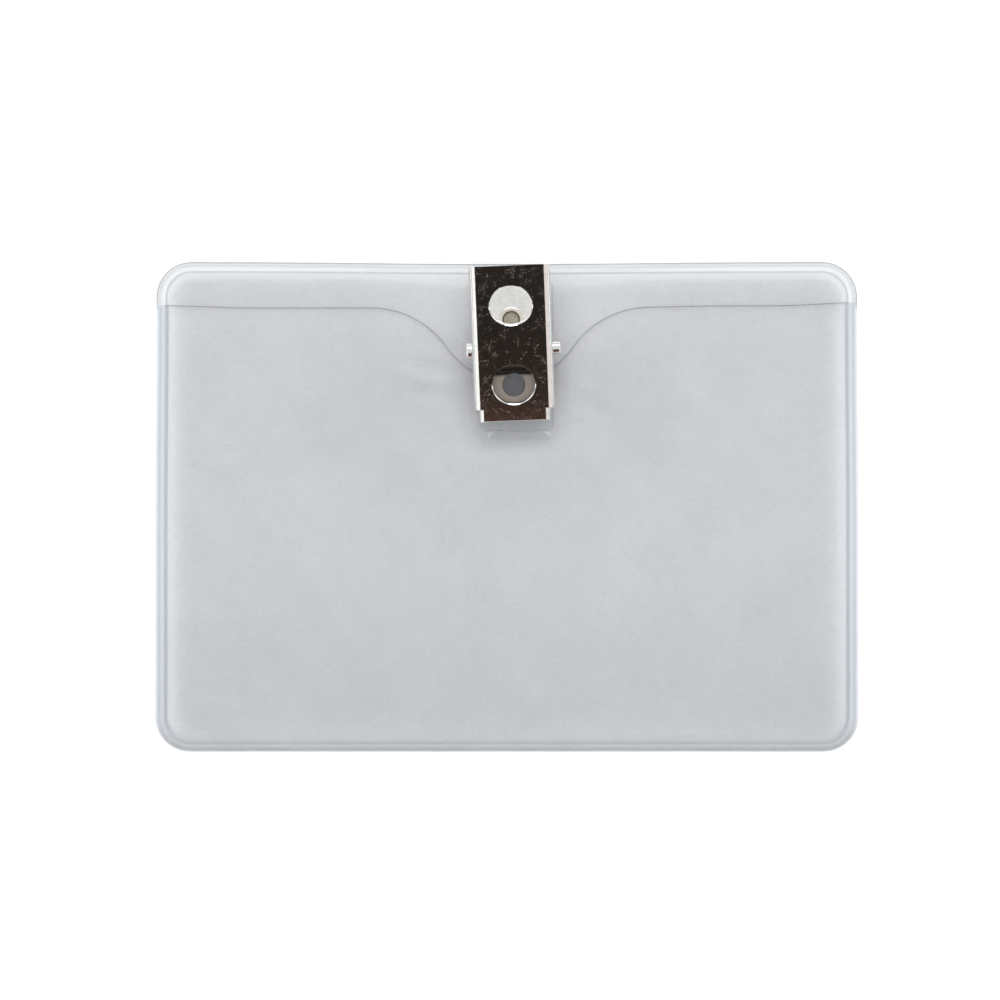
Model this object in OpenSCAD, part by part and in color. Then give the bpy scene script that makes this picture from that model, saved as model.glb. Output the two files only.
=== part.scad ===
// Clear horizontal badge holder with a pressed steel lever clip.
// Millimetres. It lies flat: +X to the right, +Y towards the open edge, +Z out of
// the side that carries the clip. The origin is the middle of the face it lies on.

/* [Pouch] */
// Width of the pouch
pouch_w = 96; // [92:0.5:110]
// Height of the pouch, bottom edge to top edge
pouch_h = 66.8; // [60:0.2:76]
// Radius of the four outer corners
corner_r = 4.8; // [3:0.1:7]
// Thickness of one sheet of film
film_t = 0.3; // [0.2:0.02:0.4]
// Space between the two sheets where a card slides in
pocket_gap = 0.9; // [0.8:0.02:1]
// Width of the welded border at the left and right
weld_side_w = 1.5; // [1:0.1:2.5]
// Width of the welded border along the bottom
weld_bottom_w = 1.5; // [1:0.1:2.5]
// How far the top edge dips in the middle
top_sag = 0.3; // [0.2:0.05:0.8]

/* [Pocket mouth] */
// Height of the notched sheet's straight edge, above the pouch's middle
mouth_y = 27.2; // [26:0.1:28]
// Sideways position of the thumb notch
notch_x = 0.4; // [-1:0.1:1]
// Radius of the notch's two shoulders
shoulder_r = 12.7; // [11:0.1:14]
// Radius of the notch's bottom
notch_r = 10.5; // [9:0.1:12]
// Angle each of the two arcs turns through
notch_turn = 55; // [50:1:60]

/* [Edge line] */
// Distance from the film's edge to the pressed line
line_in = 0.65; // [0.5:0.05:0.9]
// Width of the pressed line
line_w = 0.3; // [0.2:0.05:0.5]
// Depth of the pressed line
line_d = 0.06; // [0.04:0.01:0.1]

/* [Clip position] */
// Sideways position of the eyelet
clip_x = 0.6; // [-2:0.1:2]
// Height of the eyelet above the pouch's middle
clip_y = 25.5; // [25:0.1:25.8]
// How far the clip is turned on its eyelet
clip_turn = 2.3; // [-5:0.1:5]

/* [Reinforcing patch] */
// Width of the patch under the clip
patch_w = 10.2; // [9.5:0.1:12]
// Sideways position of the patch
patch_x = 1.25; // [0.5:0.05:2]
// Lower edge of the patch
patch_y0 = 10.3; // [9:0.1:11]
// Upper edge of the patch
patch_y1 = 31; // [29:0.1:31.5]
// Corner radius of the patch
patch_r = 1; // [0.5:0.1:2]
// Width of the weld tab below the patch
tab_w = 8.6; // [7:0.1:9.4]
// Sideways position of the weld tab
tab_x = 1.7; // [1:0.05:1.9]
// Corner radius of the weld tab
tab_r = 0.6; // [0.3:0.1:1]
// Lower edge of the weld tab
tab_y0 = 9.1; // [8:0.1:9.2]

/* [Eyelet] */
// Bore radius
eyelet_bore_r = 1.13; // [1:0.01:1.2]
// Outside radius of the barrel
eyelet_r = 1.4; // [1.35:0.01:1.5]
// Radius of the rolled rim on the clip's side
rim_r = 1.75; // [1.7:0.05:2]
// Thickness of the end that closes the bore
floor_t = 0.3; // [0.2:0.05:0.4]
// Height of the rolled rim
rim_t = 0.36; // [0.3:0.02:0.5]
// Radius of the wide head under the film
head_r = 2.5; // [2.2:0.1:3]
// Thickness of the wide head
head_t = 0.3; // [0.25:0.05:0.5]
// Radial clearance that lets the clip turn on the eyelet
swivel_gap = 0.06; // [0.03:0.01:0.1]
// Play along the eyelet above and below the clip
swivel_play = 0.05; // [0.04:0.01:0.08]

/* [Steel] */
// Thickness of the pressed steel
steel_t = 0.5; // [0.4:0.05:0.6]
// Outside radius of the pressed bends
bend_r = 0.85; // [0.7:0.05:0.9]
// Sideways gap between the two levers' flanges
flange_gap = 0.12; // [0.08:0.01:0.15]

/* [Upper lever] */
// Width over the flanges
upper_w = 11; // [10.6:0.1:11.2]
// Length of the lever's plate
upper_len = 23.16; // [22.5:0.01:23.4]
// Angle of the plate to the pouch when the jaws are shut
upper_tilt = 24.3; // [23.5:0.1:25]
// Distance along the clip from the eyelet to the nose
nose_v = 13.9; // [13.8:0.01:14]
// Height of the nose above the face the pouch lies on
nose_z = 5.05; // [5:0.01:5.1]
// Length of the narrow nose beyond the flanges
nose_len = 1.86; // [1.7:0.01:2]
// Width of the narrow nose
nose_w = 9.7; // [9.4:0.1:9.8]
// Outside radius of the nose's side bends
nose_r = 0.62; // [0.56:0.02:0.7]
// Outside radius of the nose's front corner
nose_front_r = 0.2; // [0.2:0.05:0.45]
// Radius of the two large holes
hole_r = 2.9; // [2.8:0.05:3.2]
// Chamfer round their upper edges
hole_edge = 0.12; // [0.05:0.01:0.2]
// Distance from the nose to the first large hole
hole_s1 = 5.48; // [5.4:0.01:5.7]
// Distance from the nose to the second large hole
hole_s2 = 17.22; // [17:0.01:17.4]
// Depth of the flanges at the thumb end
thumb_flange = 1.5; // [1.2:0.1:1.7]

/* [Lower lever] */
// Length of the lower lever from the eyelet to its jaw
lower_front = 13.4; // [13.3:0.05:13.5]
// Length of the lower lever from the eyelet to its tail
lower_back = 6.5; // [6:0.1:7]
// Height of the jaw's lip above the lower lever's plate
jaw_lip = 1.4; // [1.2:0.02:1.4]
// Distance from the eyelet to the spare rivet hole
spare_v = 8.9; // [8.5:0.1:9.2]
// Radius of the spare rivet hole
spare_r = 1.6; // [1.4:0.05:1.8]
// Gap left between the closed jaws
jaw_gap = 0.05; // [0.04:0.01:0.08]

/* [Hinge] */
// Distance from the eyelet to the hinge pin
pin_v = 4.04; // [4:0.01:4.1]
// Height of the hinge pin above the face the pouch lies on
pin_z = 5.5; // [5.45:0.01:5.52]
// Shank radius of the pin
pin_r = 0.8; // [0.75:0.01:0.85]
// Running clearance in the upper lever's ears
pin_gap = 0.05; // [0.02:0.01:0.08]
// Radius of the pin's left head
pin_head_r = 1.15; // [1:0.05:1.2]
// Radius of its upset right end
pin_tail_r = 0.9; // [0.85:0.05:1]
// How far the left head stands out
pin_left = 0.75; // [0.6:0.05:1]
// How far the right head stands out
pin_right = 1.05; // [0.8:0.05:1.2]
// Radius of the ears round the pin
ear_r = 2.2; // [2:0.05:2.25]

/* [Spring] */
// Thickness of the spring strip
strip_t = 0.35; // [0.25:0.01:0.4]
// Outside radius of the strip where it wraps round the pin
strip_r = 3.08; // [2.9:0.01:3.1]
// Width of the strip
strip_w = 7.8; // [6.5:0.1:8]
// Length of the arm that presses on the lower lever
lower_arm = 1.9; // [1.5:0.05:1.95]
// Length of the arm that presses under the upper lever
upper_arm = 4.3; // [3:0.1:4.6]

/* [Display] */
// One node's name, or all

/* [Hidden] */
$fn = 96;
eps = 0.01;
far = 60;
half_h = pouch_h / 2;
back_z = film_t + pocket_gap;
pouch_top = back_z + film_t;
patch_top = pouch_top + film_t;
sag_chord = pouch_w / 2 - corner_r;
sag_r = (sag_chord * sag_chord + top_sag * top_sag) / (2 * top_sag);
lower_z = patch_top + swivel_play;
lower_top = lower_z + steel_t;
rim_z = lower_top + swivel_play;
lower_w = upper_w - 2 * steel_t - 2 * flange_gap;
lip_top = lower_top + jaw_lip;
// Offsets of the pin in the upper lever's own frame (along the plate, and below it)
pin_dv = nose_v - pin_v;
pin_dz = pin_z - nose_z;
pin_s = pin_dv * cos(upper_tilt) + pin_dz * sin(upper_tilt);
pin_t = pin_dz * cos(upper_tilt) - pin_dv * sin(upper_tilt);
half_notch = (shoulder_r + notch_r) * sin(notch_turn);
notch_drop = (shoulder_r + notch_r) * (1 - cos(notch_turn));
notch_y = mouth_y - notch_drop;
join_y = mouth_y - shoulder_r * (1 - cos(notch_turn));
tooth_n = 7;
tooth_pitch = 1.1;
tooth_half = 0.3;
tooth_d = 0.35;

// ---- flat shapes ----

module round_rect(w, h, r) {
    hw = w / 2 - r;
    hh = h / 2 - r;
    square([w, h - 2 * r], center = true);
    square([w - 2 * r, h], center = true);
    for (x = [-hw, hw]) {
        for (y = [-hh, hh]) {
            translate([x, y]) circle(r);
        }
    }
}

module pouch_outline(inset = 0) {
    difference() {
        round_rect(pouch_w - 2 * inset, pouch_h - 2 * inset, corner_r - inset);
        translate([0, half_h - inset - top_sag + sag_r]) circle(sag_r, $fn = 3600);
    }
}

module below_mouth(inset = 0) {
    translate([-far, -far]) square([2 * far, far + mouth_y - inset]);
}

module notch() {
    translate([notch_x, 0]) {
        translate([0, notch_y + notch_r]) circle(notch_r);
        difference() {
            translate([-half_notch, join_y]) square([2 * half_notch, shoulder_r]);
            for (k = [-1, 1]) {
                translate([k * half_notch, mouth_y - shoulder_r]) circle(shoulder_r);
            }
        }
    }
}

// ---- frames ----

module clip_frame() {
    translate([clip_x, clip_y, 0]) rotate([0, 0, clip_turn]) children();
}

// The upper lever's frame: +Y along the plate from the nose, +Z out of the plate
module lever_frame() {
    translate([0, -nose_v, nose_z]) rotate([upper_tilt, 0, 0]) children();
}

// Stands a shape drawn in (Y, Z) up and runs it from x0 to x1
module side_run(x0, x1) {
    translate([x0, 0, 0]) rotate([90, 0, 90]) linear_extrude(x1 - x0) children();
}

// ---- pouch ----

module back_sheet() {
    color([0.82, 0.84, 0.87, 0.5])
    difference() {
        translate([0, 0, back_z]) linear_extrude(film_t) pouch_outline();
        translate([0, 0, pouch_top - line_d]) linear_extrude(1) difference() {
            pouch_outline(line_in);
            pouch_outline(line_in + line_w);
        }
        clip_frame() cylinder(h = far, r = eyelet_r);
    }
}

module front_sheet() {
    color([0.82, 0.84, 0.87, 0.5])
    linear_extrude(film_t) difference() {
        intersection() {
            pouch_outline();
            below_mouth();
        }
        notch();
    }
}

module weld_inside() {
    w = pouch_w - 2 * weld_side_w;
    r = corner_r - min(weld_side_w, weld_bottom_w);
    y0 = -half_h + weld_bottom_w;
    translate([-w / 2, y0 + r]) square([w, far]);
    translate([-w / 2 + r, y0]) square([w - 2 * r, far]);
    for (k = [-1, 1]) {
        translate([k * (w / 2 - r), y0 + r]) circle(r);
    }
}

module edge_weld() {
    color([0.86, 0.88, 0.9, 0.6])
    translate([0, 0, film_t]) linear_extrude(pocket_gap) difference() {
        intersection() {
            pouch_outline();
            below_mouth();
        }
        weld_inside();
    }
}

module clip_patch() {
    h = patch_y1 - patch_y0;
    tab_h = patch_y0 - tab_y0 + 2 * patch_r;
    color([0.85, 0.87, 0.9, 0.5])
    difference() {
        translate([0, 0, pouch_top]) linear_extrude(film_t) {
            translate([patch_x, patch_y0 + h / 2]) round_rect(patch_w, h, patch_r);
            translate([tab_x, tab_y0 + tab_h / 2]) round_rect(tab_w, tab_h, tab_r);
        }
        clip_frame() cylinder(h = far, r = eyelet_r);
    }
}

module eyelet() {
    rim_edge = rim_t / 2;
    color([0.78, 0.77, 0.74])
    clip_frame() rotate_extrude() difference() {
        union() {
            translate([0, back_z - head_t]) square([head_r - head_t / 2, head_t]);
            translate([head_r - head_t / 2, back_z - head_t / 2]) circle(head_t / 2, $fn = 48);
            translate([0, back_z - head_t]) square([eyelet_r, rim_z + rim_t - back_z + head_t]);
            translate([0, rim_z]) square([rim_r - rim_edge, rim_t]);
            translate([rim_r - rim_edge, rim_z + rim_edge]) circle(rim_edge, $fn = 48);
        }
        translate([-far, back_z - head_t + floor_t]) square([far + eyelet_bore_r, far]);
    }
}

// ---- pressed steel ----

// Outside of a channel's cross-section in (X, Z), its top face at Z = 0
module channel_solid(w, depth, r) {
    h = w / 2;
    translate([-h + r, -depth]) square([w - 2 * r, depth]);
    translate([-h, -depth]) square([w, depth - r]);
    for (k = [-1, 1]) {
        translate([k * (h - r), -r]) circle(r, $fn = 48);
    }
}

// Cross-section of a channel, open downwards
module channel(w, depth, r) {
    h = w / 2;
    difference() {
        channel_solid(w, depth, r);
        translate([-h + r, -depth - eps]) square([w - 2 * r, depth + eps - steel_t]);
        translate([-h + steel_t, -depth - eps]) square([w - 2 * steel_t, depth + eps - r]);
        for (k = [-1, 1]) {
            translate([k * (h - r), -r]) circle(r - steel_t, $fn = 48);
        }
    }
}

// Runs a shape drawn in (X, Z) along +Y from y0 to y1
module along_run(y0, y1) {
    translate([0, y1, 0]) rotate([90, 0, 0]) linear_extrude(y1 - y0) children();
}

// V notches along a lip's edge; the notches point to +Z and run along Y
module teeth(y0, y1) {
    for (k = [-(tooth_n - 1) / 2 : (tooth_n - 1) / 2]) {
        translate([k * tooth_pitch, y1, 0]) rotate([90, 0, 0]) linear_extrude(y1 - y0)
        polygon([[-2 * tooth_half, -tooth_d], [2 * tooth_half, -tooth_d], [0, tooth_d]]);
    }
}

// Side outline of the upper lever's flanges, (along the plate, out of the plate)
module upper_side() {
    polygon([[nose_len, 0], [nose_len, -1.5], [3.4, -1.9], [pin_s - 2, pin_t - 0.9],
             [pin_s, pin_t], [pin_s + 2, pin_t - 0.9], [14.6, -2.1],
             [upper_len - thumb_flange * tan(upper_tilt), -thumb_flange], [upper_len, 0]]);
    translate([pin_s, pin_t]) circle(ear_r);
}

// Side outline of the narrow nose; its edge lies level with the lower jaw's lip
module nose_side() {
    cut_z = lip_top + jaw_gap - nose_z;
    front_t = cut_z / cos(upper_tilt);
    back_t = (cut_z - nose_len * sin(upper_tilt)) / cos(upper_tilt);
    polygon([[0, 0], [0, front_t], [nose_len, back_t], [nose_len + 1, back_t], [nose_len + 1, 0]]);
}

// A plate's turned-down end, drawn in (Y, Z): rounded outside corner at the origin
module end_lip(depth, r) {
    difference() {
        union() {
            translate([r, -r]) circle(r, $fn = 48);
            translate([0, -depth]) square([steel_t, depth - r]);
            translate([r, -steel_t]) square([1, steel_t]);
        }
        translate([steel_t, -depth - 1]) square([r, depth + 1 - r]);
        translate([r, -depth - 1]) square([2, depth + 1 - steel_t]);
        translate([r, -r]) circle(r - steel_t, $fn = 48);
    }
}

// The same with a sharp inside corner, for a radius less than the steel's thickness
module sharp_lip(depth, r) {
    translate([r, -r]) circle(r, $fn = 48);
    translate([0, -depth]) square([steel_t, depth - r]);
    translate([r, -steel_t]) square([1, steel_t]);
}

// The whole upper lever, in its own frame
module upper_lever() {
    difference() {
        union() {
            // Plate and flanges
            intersection() {
                along_run(nose_len, upper_len + 1) channel(upper_w, 8, bend_r);
                side_run(-far, far) upper_side();
            }
            // Narrow nose with its own short cheeks
            intersection() {
                along_run(nose_front_r, nose_len + eps) channel(nose_w, 5, nose_r);
                side_run(-far, far) nose_side();
            }
            // Jaw lip
            intersection() {
                side_run(-nose_w / 2, nose_w / 2) sharp_lip(3, nose_front_r);
                side_run(-far, far) nose_side();
                along_run(-1, nose_len) channel_solid(nose_w, 5, nose_r);
            }
        }
        for (s = [hole_s1, hole_s2]) {
            translate([0, s, -1]) cylinder(h = 2, r = hole_r);
            translate([0, s, -hole_edge])
            cylinder(h = 2 * hole_edge, r1 = hole_r, r2 = hole_r + 2 * hole_edge);
        }
        translate([-far, pin_s, pin_t]) rotate([0, 90, 0]) cylinder(h = 2 * far, r = pin_r + pin_gap);
        translate([0, 0, (lip_top + jaw_gap - nose_z) / cos(upper_tilt) - 0.1]) teeth(-1, 1.2);
    }
}

flange_x = upper_w / 2 - bend_r;

// The plate, nose and jaw lip
module upper_jaw() {
    color([0.7, 0.7, 0.69])
    clip_frame() lever_frame() difference() {
        upper_lever();
        for (k = [-1, 1]) {
            translate([k * (flange_x + far / 2), far / 2 + nose_len, 0]) cube([far, far, far], center = true);
        }
    }
}

// One side's flange and bend: k is -1 for the left, 1 for the right
module upper_flange(k) {
    color([0.7, 0.7, 0.69])
    clip_frame() lever_frame() intersection() {
        upper_lever();
        translate([k * (flange_x + far / 2), far / 2 + nose_len, 0]) cube([far, far, far], center = true);
    }
}

module left_flange() {
    upper_flange(-1);
}

module right_flange() {
    upper_flange(1);
}

// Side outline of the lower lever's flanges, (along the clip, up)
module lower_side() {
    polygon([[-lower_front, lower_z], [-lower_front, lip_top], [-pin_v - 5, lip_top],
             [-pin_v - 2.05, pin_z + 0.8], [-pin_v, pin_z], [-pin_v + 2.05, pin_z - 0.8],
             [1.2, lower_top + 1], [lower_back, lower_top + 0.6], [lower_back, lower_z]]);
    translate([-pin_v, pin_z]) circle(ear_r);
}

module lower_jaw() {
    flat_w = lower_w - 2 * bend_r;
    color([0.7, 0.7, 0.69])
    clip_frame() difference() {
        union() {
            intersection() {
                translate([0, 0, lower_z]) rotate([0, 180, 0])
                along_run(-lower_front + bend_r, lower_back) channel(lower_w, 8, bend_r);
                side_run(-far, far) lower_side();
            }
            // Jaw lip, turned up
            intersection() {
                translate([0, -lower_front, lower_z]) mirror([0, 0, 1])
                side_run(-flat_w / 2 - 0.4, flat_w / 2 + 0.4) end_lip(steel_t + jaw_lip, bend_r);
                side_run(-far, far) lower_side();
            }
        }
        translate([0, 0, lower_z - 1]) cylinder(h = 2, r = eyelet_r + swivel_gap);
        translate([0, -spare_v, lower_z - 1]) cylinder(h = 2, r = spare_r);
        translate([-far, -pin_v, pin_z]) rotate([0, 90, 0]) cylinder(h = 2 * far, r = pin_r);
        translate([0, 0, lip_top]) mirror([0, 0, 1]) translate([0, 0, -0.02])
        teeth(-lower_front - 1, -lower_front + steel_t + 0.3);
    }
}

// ---- hinge pin ----

module hinge_pin() {
    x0 = -upper_w / 2 - 0.06;
    x1 = upper_w / 2 + 0.06;
    soft = 0.25;
    color([0.72, 0.72, 0.7])
    clip_frame() translate([0, -pin_v, pin_z]) rotate([0, 90, 0]) rotate_extrude() {
        translate([0, x0 - eps]) square([pin_r, x1 - x0 + 2 * eps]);
        // Upset right end
        translate([0, x1]) square([pin_tail_r, pin_right - soft]);
        translate([0, x1]) square([pin_tail_r - soft, pin_right]);
        translate([pin_tail_r - soft, x1 + pin_right - soft]) circle(soft, $fn = 48);
        // Left head
        translate([0, x0 - pin_left + soft]) square([pin_head_r, pin_left - soft]);
        translate([0, x0 - pin_left]) square([pin_head_r - soft, pin_left]);
        translate([pin_head_r - soft, x0 - pin_left + soft]) circle(soft, $fn = 48);
    }
}

// ---- flat spring ----
// A strip bent round the front of the pin. One arm lies on the lower lever and the
// other lies under the upper lever.

module strip_side() {
    in_r = strip_r - strip_t;
    turn = 90 + upper_tilt;
    difference() {
        circle(strip_r);
        circle(in_r);
        polygon([[0, 0], [0, -far], [far, -far], [far, far],
                 [far * cos(turn), far * sin(turn)]]);
    }
    translate([-eps, -strip_r]) square([lower_arm + eps, strip_t]);
    rotate(upper_tilt) translate([-eps, in_r]) square([upper_arm + eps, strip_t]);
}

module flat_spring() {
    color([0.6, 0.6, 0.62])
    clip_frame() translate([0, -pin_v, pin_z]) side_run(-strip_w / 2, strip_w / 2) strip_side();
}

back_sheet();
front_sheet();
edge_weld();
clip_patch();
eyelet();
lower_jaw();
hinge_pin();
flat_spring();
upper_jaw();
left_flange();
right_flange();
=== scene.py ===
"""Clear badge holder with a two-hole lever clip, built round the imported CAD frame."""
import math

import bmesh
import bpy
import numpy as np
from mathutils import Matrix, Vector
from mathutils.geometry import delaunay_2d_cdt


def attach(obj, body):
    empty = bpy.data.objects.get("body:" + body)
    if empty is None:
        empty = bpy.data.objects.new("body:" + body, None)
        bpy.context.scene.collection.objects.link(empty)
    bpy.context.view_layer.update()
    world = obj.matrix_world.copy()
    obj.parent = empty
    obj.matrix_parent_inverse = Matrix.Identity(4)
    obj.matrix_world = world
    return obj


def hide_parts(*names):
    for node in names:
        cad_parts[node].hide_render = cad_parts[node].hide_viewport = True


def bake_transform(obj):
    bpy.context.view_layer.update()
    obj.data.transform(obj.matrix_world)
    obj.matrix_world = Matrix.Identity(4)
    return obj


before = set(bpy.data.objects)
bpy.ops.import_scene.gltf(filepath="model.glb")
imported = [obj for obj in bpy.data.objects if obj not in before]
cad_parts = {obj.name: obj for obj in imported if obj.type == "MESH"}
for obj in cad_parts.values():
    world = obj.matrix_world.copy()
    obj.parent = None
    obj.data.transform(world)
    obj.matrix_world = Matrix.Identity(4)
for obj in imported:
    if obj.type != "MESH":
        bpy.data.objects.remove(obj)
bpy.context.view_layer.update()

MM = 0.001

# ---- sizes, in millimetres, as the CAD has them ----
POUCH_W, POUCH_H, CORNER = 96.0, 66.8, 4.8
FILM = 0.3
BACK_Z = 1.2
SAG, SAG_WIDTH = 0.3, 24.0
NARROWING = 0.0042
HOLE_R = 1.4
MOUTH_Y, NOTCH_X = 27.2, 0.4
R1, R2, TURN = 12.7, 10.5, math.radians(55)
WELD = 1.5
EYELET = (0.6, 25.5)
CLIP_TURN = math.radians(2.3)
PIN = (-4.04, 5.5)
PATCH = (1.25, 10.2, 10.3, 31.0, 1.0)
TAB = (1.7, 8.6, 9.1)
TILT = 24.3
STRIP_T, STRIP_R, STRIP_W, LOWER_ARM, UPPER_ARM = 0.35, 3.08, 7.8, 1.9, 4.3

CLIP_C, CLIP_S = math.cos(CLIP_TURN), math.sin(CLIP_TURN)


def clip(u, v, z):
    """A point in the clip's own frame, in the row frame."""
    return (
        EYELET[0] + u * CLIP_C - v * CLIP_S,
        EYELET[1] + u * CLIP_S + v * CLIP_C,
        z,
    )


# ---- outlines ----
def smooth(e0, e1, x):
    t = np.clip((np.asarray(x, float) - e0) / (e1 - e0), 0, 1)
    return t * t * (3 - 2 * t)


def sag(x, y):
    """How far the open edge dips, fading out down the sheet."""
    x, y = np.asarray(x, float), np.asarray(y, float)
    return SAG * np.exp(-((x / SAG_WIDTH) ** 2)) * smooth(28.5, POUCH_H / 2, y)


def draw_in(x, y):
    """The open end of the pouch is a little narrower than the closed end."""
    return x * (1 - NARROWING * smooth(-5, 30, y))


# How far the mouth's edge climbs, each as (height, from x, to x)
RISES = ((0.30, 12, 32), (0.40, 37, 47.5), (0.30, -35, -47))


def lip_rise(x, y):
    """The mouth's edge climbs a little towards the pouch's sides."""
    x, y = np.asarray(x, float), np.asarray(y, float)
    return sum(height * smooth(start, end, x) for height, start, end in RISES) * smooth(21.0, MOUTH_Y, y)


def rounded(w, h, r, cx=0.0, cy=0.0, step=0.6, arc=14):
    """A rounded rectangle, anticlockwise from the right of its bottom edge."""
    r = max(r, 0.05)
    out = []
    for sx, sy, a0 in ((1, -1, -90), (1, 1, 0), (-1, 1, 90), (-1, -1, 180)):
        x, y = cx + sx * (w / 2 - r), cy + sy * (h / 2 - r)
        for k in range(arc + 1):
            a = math.radians(a0 + 90 * k / arc)
            out.append((x + r * math.cos(a), y + r * math.sin(a)))
    full = []
    for k, p in enumerate(out):
        q = out[(k + 1) % len(out)]
        gap = math.dist(p, q)
        n = max(1, round(gap / step)) if gap > step * 1.5 else 1
        full += [(p[0] + (q[0] - p[0]) * i / n, p[1] + (q[1] - p[1]) * i / n) for i in range(n)]
    return full


def edge_loop(inset, step=0.6):
    return rounded(POUCH_W - 2 * inset, POUCH_H - 2 * inset, CORNER - inset, step=step)


def inset_of(x, y):
    """Distance from the pouch's outline, positive inside."""
    x, y = np.asarray(x, float), np.asarray(y, float)
    qx, qy = np.abs(x) - (POUCH_W / 2 - CORNER), np.abs(y) - (POUCH_H / 2 - CORNER)
    outside = np.hypot(np.maximum(qx, 0), np.maximum(qy, 0))
    return CORNER - (outside + np.minimum(np.maximum(qx, qy), 0))


JOIN_X = R2 * math.sin(TURN)
HALF_NOTCH = (R1 + R2) * math.sin(TURN)
NOTCH_Y = MOUTH_Y - (R1 + R2) * (1 - math.cos(TURN))


def mouth(x):
    """Height of the notched sheet's upper edge at x."""
    d = np.abs(np.asarray(x, float) - NOTCH_X)
    low = NOTCH_Y + R2 - np.sqrt(np.maximum(R2**2 - np.minimum(d, JOIN_X) ** 2, 0))
    e = np.clip(HALF_NOTCH - d, 0, HALF_NOTCH - JOIN_X)
    high = MOUTH_Y - R1 + np.sqrt(R1**2 - e**2)
    return np.where(d < JOIN_X, low, np.where(d < HALF_NOTCH, high, MOUTH_Y))


def mouth_line(drop, step=0.45):
    """The mouth's edge moved down by drop along its normal, left to right."""
    half = POUCH_W / 2
    pts = []
    xs = np.arange(-half, half + 1e-6, step)
    for x in xs:
        y, slope = float(mouth(x)), float(mouth(x + 0.01) - mouth(x - 0.01)) / 0.02
        n = math.hypot(slope, 1)
        pts.append((x + slope / n * drop, y - drop / n))
    return pts


# ---- heights ----
def ridge(x, y, p, q, w, h, fade=0.35):
    """A soft crease from p to q, w wide and h high."""
    px, py, qx, qy = *p, *q
    length = math.hypot(qx - px, qy - py)
    tx, ty = (qx - px) / length, (qy - py) / length
    along = ((x - px) * tx + (y - py) * ty) / length
    across = (x - px) * -ty + (y - py) * tx
    ends = smooth(0, fade, along) * (1 - smooth(1 - fade, 1, along))
    return h * ends * np.exp(-((across / w) ** 2))


def waves(x, y):
    """Slow unevenness of film that has been handled."""
    return (
        0.024 * np.sin(0.21 * x + 0.13 * y + 0.7)
        + 0.018 * np.sin(-0.13 * x + 0.27 * y + 2.1)
        + 0.016 * np.sin(0.43 * x - 0.31 * y + 4.0)
        + 0.012 * np.sin(0.71 * x + 0.52 * y)
    )


def near_clip(x, y, reach=5.0):
    """1 under the patch and clip, fading to 0 over reach around them."""
    dx = np.maximum(np.abs(x - PATCH[0]) - PATCH[1] / 2 - 0.6, 0)
    dy = np.maximum(np.abs(y - (PATCH[2] + PATCH[3]) / 2 + 0.6) - (PATCH[3] - PATCH[2]) / 2 - 1.4, 0)
    return 1 - smooth(0, reach, np.hypot(dx, dy))


CREASES = (
    ((-17.0, 19.6), (-4.2, 17.3), 0.55, 0.06),
    ((-15.0, 16.4), (-4.4, 15.6), 0.6, -0.05),
    ((-13.0, 22.5), (-4.6, 19.4), 0.7, 0.05),
    ((7.0, 18.4), (13.5, 16.8), 0.5, 0.06),
    ((7.0, 15.8), (15.5, 13.2), 0.6, -0.05),
    ((7.2, 21.2), (14.0, 23.0), 0.7, 0.04),
    ((-4.0, 10.0), (-9.5, 3.5), 0.7, -0.04),
    ((6.6, 9.6), (12.0, 3.0), 0.7, -0.04),
)


def creases(x, y):
    total = np.zeros_like(x)
    for p, q, w, h in CREASES:
        total = total + ridge(x, y, p, q, w, h)
    return total


HELD = BACK_Z + FILM / 2
RELAXED, OPEN_EDGE, WELDED = 0.64, 0.52, 0.58
FRONT_WELDED = 0.22
# Lines pressed into the back sheet, each as (height, distance in from the edge, width)
OPEN_EDGE_LINES = ((-0.055, 1.25, 0.13),)
WELD_LINES = ((-0.03, 0.45, 0.12), (-0.04, 1.55, 0.10), (0.04, 1.9, 0.14))


def relief(d, lines):
    return sum(height * np.exp(-(((d - place) / width) ** 2)) for height, place, width in lines)


def back_mid(x, y):
    """Height of the back sheet's middle: held up at the clip, relaxed elsewhere."""
    x, y = np.asarray(x, float), np.asarray(y, float)
    d = inset_of(x, y)
    upper = smooth(24.5, 29.0, y)
    rest = RELAXED + (OPEN_EDGE - RELAXED) * upper
    rest = rest + (WELDED - rest) * (1 - smooth(1.5, 3.4, d)) * (1 - upper)
    held = near_clip(x, y, 15.0)
    z = rest + (HELD - 0.06 - rest) * held
    free = 1 - near_clip(x, y)
    body = smooth(1.7, 7.0, d)
    z = z + (waves(x, y) * body + creases(x, y) * smooth(2.0, 5.0, d)) * free
    # the pressed line along the open edge, and the weld's ridges
    z = z + upper * free * relief(d, OPEN_EDGE_LINES) + (1 - upper) * relief(d, WELD_LINES)
    return np.minimum(z, HELD)


def front_mid(x, y):
    """Height of the notched sheet's middle, which lies on the table."""
    x, y = np.asarray(x, float), np.asarray(y, float)
    d = inset_of(x, y)
    z = FILM / 2 + (FRONT_WELDED - FILM / 2) * (1 - smooth(1.30, 2.6, d))
    z = z + 0.03 * smooth(2.0, 8.0, d) * (0.5 + 0.5 * np.sin(0.27 * x + 0.19 * y + 1.3))
    return np.maximum(z, FILM / 2)


# ---- mesh helpers ----
def new_object(name, verts, faces, smooth_faces=True):
    mesh = bpy.data.meshes.new(name)
    mesh.from_pydata([[c * MM for c in v] for v in verts], [], faces)
    mesh.validate()
    mesh.update()
    obj = bpy.data.objects.new(name, mesh)
    bpy.context.scene.collection.objects.link(obj)
    bm = bmesh.new()
    bm.from_mesh(mesh)
    bmesh.ops.recalc_face_normals(bm, faces=bm.faces[:])
    bm.to_mesh(mesh)
    bm.free()
    for p in mesh.polygons:
        p.use_smooth = smooth_faces
    return obj


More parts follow.
